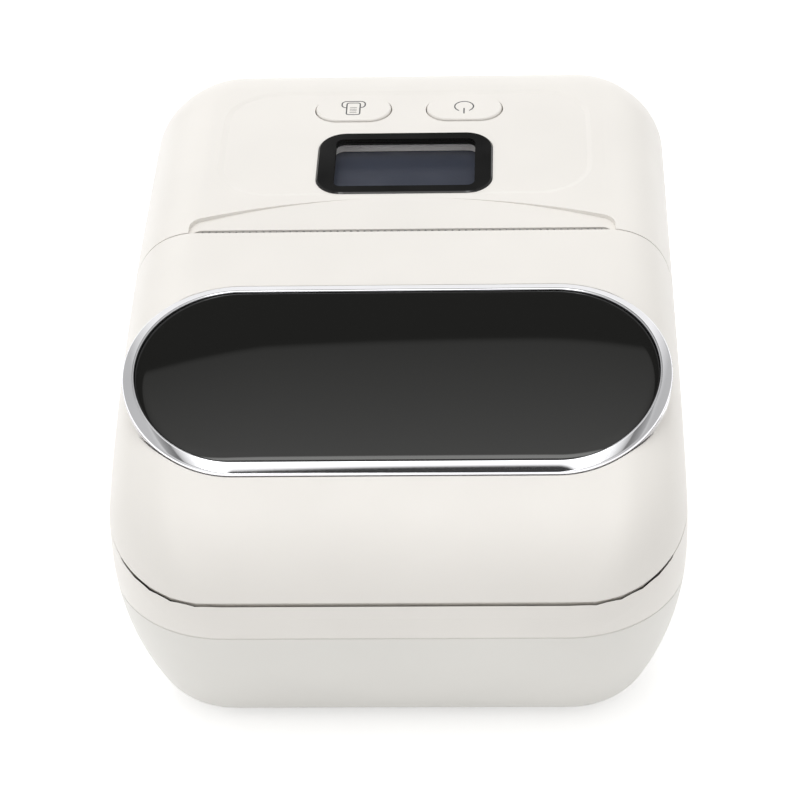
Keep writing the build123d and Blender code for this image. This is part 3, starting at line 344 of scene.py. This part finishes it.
def relief(tree, shader, height, strength, distance):
    bump = addNode(tree, "ShaderNodeBump")
    bump.inputs["Strength"].default_value = strength
    bump.inputs["Distance"].default_value = distance
    tree.links.new(height, bump.inputs["Height"])
    tree.links.new(bump.outputs[0], shader.inputs["Normal"])


def shade(colour, k):
    return tuple(min(1.0, c * k) for c in colour)


mouldedSettings = {
    "driftScale": 38, "wanderScale": 160, "smoother": 0.035, "rougher": 0.045,
    "grainHeight": 0.00005, "ior": 1.48,
}


def mouldedPlastic(name, f, m):
    # moulded skin: a fine grain, roughness that wanders, and a colour that drifts very little
    material, tree, shader, place = newMaterial(name)
    drift = noise(tree, place, m["driftScale"], 2.0)
    tint(tree, drift, shader, shade(f["colour"], 1 - f["drift"]), shade(f["colour"], 1 + f["drift"]))
    wander = noise(tree, place, m["wanderScale"], 4.0, 0.6)
    gloss(tree, wander, shader, f["rough"] - m["smoother"], f["rough"] + m["rougher"])
    relief(tree, shader, noise(tree, place, f["grain"], 2.0), f["grainDepth"], m["grainHeight"])
    shader.inputs["IOR"].default_value = m["ior"]
    return material


workedSettings = {
    "driftScale": 60, "dark": 0.96, "light": 1.03, "lineScale": 1500, "smoother": 0.85, "rougher": 1.2,
    "lineHeight": 0.00003,
}


def workedMetal(name, f, m):
    # metal with the fine lines of its working, drawn out along one axis
    material, tree, shader, place = newMaterial(name)
    shader.inputs["Metallic"].default_value = 1.0
    drift = noise(tree, place, m["driftScale"], 2.0)
    tint(tree, drift, shader, shade(f["colour"], m["dark"]), shade(f["colour"], m["light"]))
    lines = noise(tree, place, m["lineScale"], 3.0, 0.6, f["stretch"])
    gloss(tree, lines, shader, f["rough"] * m["smoother"], f["rough"] * m["rougher"] + f["brush"])
    if f["brush"]:
        relief(tree, shader, lines, f["brush"] * 2, m["lineHeight"])
    return material


smokedSettings = {
    "colour": (0.0105, 0.0105, 0.0098), "speck": (0.16, 0.16, 0.15), "speckScale": 95, "speckSize": 0.010,
    "smearScale": 45, "smearStretch": (0.4, 1, 1), "rough": (0.015, 0.05), "ior": 1.50,
}


def smokedLens(f):
    # dark plastic with a hard polish: faint smears in the gloss and a few specks of dust
    material, tree, shader, place = newMaterial("smokedLens")
    specks = addNode(tree, "ShaderNodeTexVoronoi", feature="F1")
    specks.inputs["Scale"].default_value = f["speckScale"]
    tree.links.new(place, specks.inputs["Vector"])
    dot = mathNode(tree, "LESS_THAN", specks.outputs["Distance"], f["speckSize"])
    tree.links.new(rampNode(tree, dot, [(0.0, f["colour"]), (1.0, f["speck"])]), shader.inputs["Base Color"])
    gloss(tree, noise(tree, place, f["smearScale"], 4.0, 0.6, f["smearStretch"]), shader, *f["rough"])
    shader.inputs["IOR"].default_value = f["ior"]
    return material


displayWindow = {
    "size": (27.7, 17.2), "corner": 1.6, "blur": 0.06, "film": (0.995, 0.995, 1.00495, 1),
    "border": ((0.008, 0.008, 0.008), (0.014, 0.014, 0.014)), "toneScale": 120,
    "rough": (0.02, 0.06), "smearScale": 90, "ior": 1.45,
}


def roundedFrame(tree, place, centre, size, corner, blur):
    # 0 inside a rounded oblong on the XY plane and 1 outside it, from the distance to its edge
    split = addNode(tree, "ShaderNodeSeparateXYZ")
    tree.links.new(place, split.inputs[0])
    past = []
    for axis in (0, 1):
        away = mathNode(tree, "ABSOLUTE", mathNode(tree, "SUBTRACT", split.outputs[axis], centre[axis]))
        reach = (size[axis] / 2 - corner) * mm
        past.append(mathNode(tree, "MAXIMUM", mathNode(tree, "SUBTRACT", away, reach), 0.0))
    squares = [mathNode(tree, "POWER", value, 2.0) for value in past]
    far = mathNode(tree, "SQRT", mathNode(tree, "ADD", squares[0], squares[1]))
    return spread(tree, far, 0.0, 1.0, (corner - blur) * mm, (corner + blur) * mm)


def displayGlass(f):
    # a clear pane with a black border printed behind it; the middle lets the recess show through,
    # and only its outer face shines
    material, tree, shader, place = newMaterial("displayGlass")
    low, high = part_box("display_lens")
    centre = ((low[0] + high[0]) / 2, (low[1] + high[1]) / 2)
    border = roundedFrame(tree, place, centre, f["size"], f["corner"], f["blur"])
    tint(tree, noise(tree, place, f["toneScale"], 2.0), shader, *f["border"])
    gloss(tree, noise(tree, place, f["smearScale"], 4.0, 0.6), shader, *f["rough"])
    clear = addNode(tree, "ShaderNodeBsdfTransparent")
    clear.inputs["Color"].default_value = f["film"]
    shine = addNode(tree, "ShaderNodeBsdfGlossy")
    shine.inputs["Roughness"].default_value = f["rough"][0]
    sheen = addNode(tree, "ShaderNodeFresnel")
    sheen.inputs["IOR"].default_value = f["ior"]
    outer = mathNode(tree, "SUBTRACT", 1.0, addNode(tree, "ShaderNodeNewGeometry").outputs["Backfacing"])
    share = mathNode(tree, "MULTIPLY", sheen.outputs[0], outer)
    pane = mixedShaders(tree, share, clear.outputs[0], shine.outputs[0])
    out = next(n for n in tree.nodes if n.type == "OUTPUT_MATERIAL")
    tree.links.new(mixedShaders(tree, border, pane, shader.outputs[0]), out.inputs[0])
    return material


# toneNoise and smearNoise hold scale, detail and roughness of the noise
simpleFinishes = {
    "symbolInk": {
        "dark": (0.045, 0.047, 0.052), "light": (0.075, 0.078, 0.085), "toneNoise": (2400, 3.0, 0.5),
        "rough": (0.45, 0.6), "smearNoise": (900, 3.0, 0.5),
    },
    "unlitDisplay": {
        "dark": (0.046, 0.052, 0.070), "light": (0.056, 0.063, 0.084), "toneNoise": (70, 2.0, 0.5),
        "rough": (0.10, 0.20), "smearNoise": (110, 4.0, 0.6),
    },
}


def simpleFinish(name, f):
    # two close shades and a gloss, each led by its own noise
    material, tree, shader, place = newMaterial(name)
    tint(tree, noise(tree, place, *f["toneNoise"]), shader, f["dark"], f["light"])
    gloss(tree, noise(tree, place, *f["smearNoise"]), shader, *f["rough"])
    return material


boardSettings = {
    "scale": 260, "trackWidth": 0.06, "track": (0.030, 0.150, 0.070, 1),
    "maskDark": (0.010, 0.075, 0.035, 1), "maskLight": (0.012, 0.090, 0.042, 1),
    "rough": (0.28, 0.42), "smearScale": 300,
}


def circuitBoard(f):
    # green mask over copper tracks, which show as a slightly lighter grid
    material, tree, shader, place = newMaterial("circuitBoard")
    tracks = addNode(tree, "ShaderNodeTexBrick")
    tracks.inputs["Scale"].default_value = f["scale"]
    tracks.inputs["Mortar Size"].default_value = f["trackWidth"]
    tracks.inputs["Color1"].default_value = f["maskDark"]
    tracks.inputs["Color2"].default_value = f["maskLight"]
    tracks.inputs["Mortar"].default_value = f["track"]
    tree.links.new(place, tracks.inputs["Vector"])
    tree.links.new(tracks.outputs["Color"], shader.inputs["Base Color"])
    gloss(tree, noise(tree, place, f["smearScale"]), shader, *f["rough"])
    return material


wrapSettings = {
    "dark": (0.012, 0.045, 0.16), "light": (0.018, 0.060, 0.20), "toneScale": 90, "rough": (0.18, 0.34),
    "foldScale": 240, "foldStretch": (0.2, 1, 1), "foldStrength": 0.12, "foldDepth": 0.0002,
}


def shrinkWrap(f):
    # thin film drawn tight round the cells, with folds across them
    material, tree, shader, place = newMaterial("shrinkWrap")
    tint(tree, noise(tree, place, f["toneScale"], 3.0), shader, f["dark"], f["light"])
    folds = noise(tree, place, f["foldScale"], 4.0, 0.6, f["foldStretch"])
    gloss(tree, folds, shader, *f["rough"])
    relief(tree, shader, folds, f["foldStrength"], f["foldDepth"])
    return material


headSettings = {
    "glaze": (0.62, 0.60, 0.54), "dots": (0.10, 0.08, 0.07), "dotsHeight": 0.054, "dotsHalf": 0.0004,
    "rough": (0.12, 0.25), "smearScale": 200,
}


def glazedCeramic(f):
    # pale ceramic with the fine dark line of heating dots along the roller
    material, tree, shader, place = newMaterial("glazedCeramic")
    split = addNode(tree, "ShaderNodeSeparateXYZ")
    tree.links.new(place, split.inputs[0])
    off = mathNode(tree, "ABSOLUTE", mathNode(tree, "SUBTRACT", split.outputs[2], f["dotsHeight"]))
    line = mathNode(tree, "LESS_THAN", off, f["dotsHalf"])
    tree.links.new(rampNode(tree, line, [(0.0, f["glaze"]), (1.0, f["dots"])]), shader.inputs["Base Color"])
    gloss(tree, noise(tree, place, f["smearScale"]), shader, *f["rough"])
    return material


materials = {name: mouldedPlastic(name, f, mouldedSettings) for name, f in finishes.items()}
materials.update({name: workedMetal(name, f, workedSettings) for name, f in metalFinishes.items()})
materials.update({name: simpleFinish(name, f) for name, f in simpleFinishes.items()})
materials.update({
    "smokedLens": smokedLens(smokedSettings), "displayGlass": displayGlass(displayWindow),
    "circuitBoard": circuitBoard(boardSettings), "shrinkWrap": shrinkWrap(wrapSettings),
    "glazedCeramic": glazedCeramic(headSettings),
})
finishOfSlot = {
    "upper_shell": "warmWhiteShell", "lower_shell": "lowerShell", "plated_ring": "platedChrome",
    "smoked_lens": "smokedLens", "black_glass": "displayGlass", "display": "unlitDisplay",
    "grey_moulding": "greyMoulding", "key": "keyPlastic", "circuit_board": "circuitBoard",
    "inner_moulding": "innerMoulding", "guide_moulding": "guideMoulding", "gear_plastic": "gearPlastic",
    "bush_plastic": "bushPlastic", "brass_gear": "brassGear", "zinc_sheet": "zincSheet",
    "steel": "brightSteel", "ceramic": "glazedCeramic", "cast_sink": "castSink",
    "roller_rubber": "rollerRubber", "motor_can": "motorCan", "battery_wrap": "shrinkWrap",
    "foot_rubber": "footRubber",
}
for part in frame["record"]["subparts"]:
    node = cadNodes[part["node"]]
    node.data.materials.clear()
    node.data.materials.append(materials[finishOfSlot[part["material_slot"]]])
print("finishes set")

# Window and ring. The top of the cover is an ellipse in side view, the same all across its width:
# z = slopeStart + b * sqrt(1 - ((y - crestY) / a)^2), and an inset shortens a and b alike.
topSurface = {"slopeStart": 28.0, "a": 87.0, "b": 40.0, "crestY": 17.0}
ringShape = {
    "length": 101.0, "height": 42.4, "band": 2.4, "tilt": 19.1, "centre": (0.0, -33.6, 59.4),
    "proud": 1.2, "seat": 2.0, "outerRound": 0.9, "innerRound": 0.3, "outerDrop": 0.5, "groove": 0.13,
    "around": 720,
}
lensShape = {
    "gap": 0.04, "thick": 2.95, "seat": 1.98, "around": 480, "rings": 48,
    "endFall": 0.55, "endWidth": 24.0, "rimFall": 0.16, "rimWidth": 2.0, "edgeRound": 0.25,
}


def stadiumPoints(length, height, count):
    # an oval of two straights, length - height long, and two half circles of radius height / 2:
    # points an equal way apart along it, from the left end of its lower side, and their outward normals
    r = height / 2
    run = length - height
    total = 2 * run + 2 * math.pi * r
    s = np.arange(count) / count * total
    u, w = np.empty(count), np.empty(count)
    nu, nw = np.empty(count), np.empty(count)
    bottom = s < run
    right = (s >= run) & (s < run + math.pi * r)
    top = (s >= run + math.pi * r) & (s < 2 * run + math.pi * r)
    left = s >= 2 * run + math.pi * r
    u[bottom], w[bottom], nu[bottom], nw[bottom] = s[bottom] - run / 2, -r, 0, -1
    turn = (s[right] - run) / r - math.pi / 2
    nu[right], nw[right] = np.cos(turn), np.sin(turn)
    u[right], w[right] = run / 2 + r * nu[right], r * nw[right]
    u[top], w[top], nu[top], nw[top] = run / 2 - (s[top] - run - math.pi * r), r, 0, 1
    turn = (s[left] - 2 * run - math.pi * r) / r + math.pi / 2
    nu[left], nw[left] = np.cos(turn), np.sin(turn)
    u[left], w[left] = -run / 2 + r * nu[left], r * nw[left]
    return u, w, nu, nw


def onCrown(u, w, inset):
    # the point of the inset ellipse straight under a place (u, w) of the window's tilted plane:
    # height h along the plane's normal solves ((y - crestY)/A)^2 + ((z - slopeStart)/B)^2 = 1
    t, c = topSurface, ringShape
    tilt = math.radians(c["tilt"])
    sinT, cosT = math.sin(tilt), math.cos(tilt)
    a, b = t["a"] - inset, t["b"] - inset
    y0 = c["centre"][1] + w * cosT - t["crestY"]
    z0 = c["centre"][2] + w * sinT - t["slopeStart"]
    qa = (sinT / a) ** 2 + (cosT / b) ** 2
    qb = 2 * (-sinT * y0 / a ** 2 + cosT * z0 / b ** 2)
    qc = (y0 / a) ** 2 + (z0 / b) ** 2 - 1
    h = (-qb + np.sqrt(np.maximum(qb ** 2 - 4 * qa * qc, 0))) / (2 * qa)
    x = c["centre"][0] + u
    y = c["centre"][1] + w * cosT - h * sinT
    z = c["centre"][2] + w * sinT + h * cosT
    return np.stack([x, y, z], -1)


def gridMesh(name, points, closedU=True, closedV=True):
    # points has one row for each place along, one column for each place across
    rows, cols = points.shape[:2]
    i = np.arange(rows if closedU else rows - 1)[:, None]
    j = np.arange(cols if closedV else cols - 1)[None, :]
    a = i * cols + j
    b = ((i + 1) % rows) * cols + j
    c = ((i + 1) % rows) * cols + (j + 1) % cols
    d = i * cols + (j + 1) % cols
    quads = np.stack([a, b, c, d], -1).reshape(-1, 4)
    mesh = bpy.data.meshes.new(name)
    mesh.from_pydata((points.reshape(-1, 3) * mm).tolist(), [], quads.tolist())
    mesh.update()
    return mesh


def closeUp(mesh):
    # merges the points that meet and turns all faces outward
    shape = bmesh.new()
    shape.from_mesh(mesh)
    bmesh.ops.remove_doubles(shape, verts=shape.verts, dist=1e-7)
    bmesh.ops.recalc_face_normals(shape, faces=shape.faces)
    shape.to_mesh(mesh)
    shape.free()
    return mesh


def addPiece(name, mesh, body, material, replaced=(), sharp=40):
    mesh.shade_smooth()
    mesh.set_sharp_from_angle(angle=math.radians(sharp))
    piece = bpy.data.objects.new(name, mesh)
    bpy.context.scene.collection.objects.link(piece)
    mesh.materials.append(materials[material])
    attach(piece, body)
    if replaced:
        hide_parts(*replaced)
    return piece


def arcPoints(centre, radius, start, end, count):
    # centre + radius * (cos, sin) of angles spread evenly from start to end, in degrees
    angle = np.radians(np.linspace(start, end, count))
    return np.array(centre) + radius * np.stack([np.cos(angle), np.sin(angle)], -1)


def makeRing(r):
    # section (out, inset) carried along the oval: out is across the band, inset is depth under the crown
    top, seat = -r["proud"], r["seat"]
    ro, ri, band = r["outerRound"], r["innerRound"], r["band"]
    # the outer side stands in from the opening by a fine groove, which shows as a dark line
    g = r["groove"]
    outerSide = [(-g, seat), (-g, seat * 0.5), (-g, 0.0)]
    slope = math.degrees(math.atan2(r["outerDrop"], band - g - ro - ri))
    outerEdge = arcPoints((-g - ro, top + r["outerDrop"] + ro), ro, 0, -90 + slope, 11)
    innerEdge = arcPoints((-band + ri, top + ri), ri, -90 + slope, -180, 9)
    innerSide = [(-band, 0.0), (-band, seat * 0.5), (-band, seat), (-band * 0.5, seat)]
    section = np.concatenate([outerSide, outerEdge, innerEdge, innerSide])
    u, w, nu, nw = stadiumPoints(r["length"], r["height"], r["around"])
    out, inset = section[:, 0][None, :], section[:, 1][None, :]
    points = onCrown(u[:, None] + nu[:, None] * out, w[:, None] + nw[:, None] * out, inset)
    return gridMesh("windowRing", points)


def makeLens(lens, ring):
    # rings of the oval shrunk to its middle line, fromRim in from its rim; the top follows the crown
    # and falls away by endFall * past^2 + rimFall * rim^2.5 + roll, where past grows over endWidth
    # towards both ends, rim over rimWidth towards the rim, and roll rounds the edge with a quarter circle
    inset = ring["band"] + lens["gap"]
    height = ring["height"] - 2 * inset
    run = ring["length"] - ring["height"]
    share = 1 - np.linspace(0, 1, lens["rings"]) ** 2
    u0, w0, nu, nw = stadiumPoints(run + height, height, lens["around"])
    half = height / 2
    fromRim = half * (1 - share)
    u = u0[:, None] - nu[:, None] * fromRim[None, :]
    w = w0[:, None] - nw[:, None] * fromRim[None, :]
    past = np.clip((np.abs(u) - ((run + height) / 2 - lens["endWidth"])) / lens["endWidth"], 0, 1)
    rim = np.clip(1 - fromRim / lens["rimWidth"], 0, 1)[None, :]
    edge = lens["edgeRound"]
    roll = edge - np.sqrt(edge ** 2 - np.clip(edge - fromRim, 0, edge) ** 2)[None, :]
    fall = lens["endFall"] * past ** 2 + lens["rimFall"] * rim ** 2.5 + roll
    top = onCrown(u, w, lens["seat"] - lens["thick"] + fall)
    under = onCrown(u, w, lens["seat"])
    return gridMesh("smokedWindow", np.concatenate([under[:, ::-1], top], 1), True, False)


ringMesh = closeUp(makeRing(ringShape))
lensMesh = closeUp(makeLens(lensShape, ringShape))
addPiece("windowRing", ringMesh, "lid", "platedChrome", ("ring_bezel",), sharp=50)
addPiece("smokedWindow", lensMesh, "lid", "smokedLens", ("window_lens",), sharp=50)
print("window and ring made")

# Symbols on the keys: thin printed lines that follow the dish in each key's top,
# z = keyTop - dish + r^2 / (2 * dishRadius), with r the distance from the key's middle
symbolShape = {"line": 0.26, "fineLine": 0.16, "thick": 0.03, "sunk": 0.015, "dish": 0.12, "keyLength": 15.2}
powerSymbol = {"middle": (11.45, 46.35), "radius": 1.9, "opening": 64, "strokeFrom": 45.7, "strokeTo": 43.6}
printSymbol = {
    "body": (-13.4, -8.7, 46.3, 48.7), "bodyCorner": 0.95, "bodyGap": 0.1,
    "paper": (-12.4, -9.7, 43.6, 48.1), "paperCorner": 0.5,
    "textFrom": -11.75, "textTo": -10.35, "textLines": (44.5, 45.1, 45.7, 46.3),
}


def quarters(corners, r):
    # a quarter circle of radius r at each corner (x, y, start), from its angle start, joined by straights
    return np.concatenate([arcPoints((x, y), r, start, start + 90, 10) for x, y, start in corners])


def unit(v):
    # each row divided by its own length
    return v / np.maximum(np.linalg.norm(v, axis=1, keepdims=True), 1e-9)


def printedLine(path, key, closed=False, width=None):
    # a flat band carried along the path: each point gets four corners across it, two low and two high,
    # half the width out along the normal, which is square to the mean of the steps before and after
    k = symbolShape
    path = np.array(path, float)
    ahead = np.roll(path, -1, 0) - path
    behind = path - np.roll(path, 1, 0)
    if not closed:
        ahead[-1], behind[0] = behind[-1], ahead[0]
    along = unit(unit(ahead) + unit(behind))
    out = np.stack([along[:, 1], -along[:, 0]], -1)
    half = (width or k["line"]) / 2
    low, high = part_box(key)
    middle = np.array([low[0] + high[0], low[1] + high[1]]) / 2 / mm
    keyTop = high[2] / mm
    dishRadius = k["keyLength"] ** 2 / (8 * k["dish"])
    under, over = -k["sunk"], k["thick"] - k["sunk"]
    rows = []
    for side, lift in ((-1, under), (-1, over), (1, over), (1, under)):
        spot = path + out * half * side
        z = keyTop - k["dish"] + ((spot - middle) ** 2).sum(1) / (2 * dishRadius) + lift
        rows.append(np.column_stack([spot, z]))
    return gridMesh("line", np.stack(rows, 1), closed, True)


def joinLines(name, lines, body):
    # one object of all the lines of a symbol, with the open ends closed
    shape = bmesh.new()
    for mesh in lines:
        shape.from_mesh(mesh)
        bpy.data.meshes.remove(mesh)
    bmesh.ops.holes_fill(shape, edges=[e for e in shape.edges if e.is_boundary], sides=4)
    bmesh.ops.recalc_face_normals(shape, faces=shape.faces)
    mesh = bpy.data.meshes.new(name)
    shape.to_mesh(mesh)
    shape.free()
    return addPiece(name, mesh, body, "symbolInk", sharp=30)


def powerLines(p):
    turn = -90 + p["opening"] / 2
    arc = arcPoints(p["middle"], p["radius"], turn, turn + 360 - p["opening"], 48)
    x = p["middle"][0]
    stroke = [(x, p["strokeFrom"]), (x, p["strokeTo"])]
    return [printedLine(arc, "power_key"), printedLine(stroke, "power_key")]


def printLines(p):
    # the body's outline is left open where the sheet crosses its lower side
    x0, x1, y0, y1 = p["body"]
    r = p["bodyCorner"]
    corners = [(x1 - r, y0 + r, -90), (x1 - r, y1 - r, 0), (x0 + r, y1 - r, 90), (x0 + r, y0 + r, 180)]
    fromSheet, toSheet = p["paper"][1] + p["bodyGap"], p["paper"][0] - p["bodyGap"]
    body = np.concatenate([[(fromSheet, y0)], quarters(corners, r), [(toSheet, y0)]])
    x0, x1, y0, y1 = p["paper"]
    r = p["paperCorner"]
    corners = [(x1 - r, y1 - r, 0), (x0 + r, y1 - r, 90), (x0 + r, y0 + r, 180), (x1 - r, y0 + r, 270)]
    sheet = quarters(corners, r)
    lines = [printedLine(body, "print_key"), printedLine(sheet, "print_key", True)]
    for y in p["textLines"]:
        text = [(p["textFrom"], y), (p["textTo"], y)]
        lines.append(printedLine(text, "print_key", width=symbolShape["fineLine"]))
    return lines


joinLines("powerSymbol", powerLines(powerSymbol), "power_button")
joinLines("printSymbol", printLines(printSymbol), "print_button")
print("symbols printed")
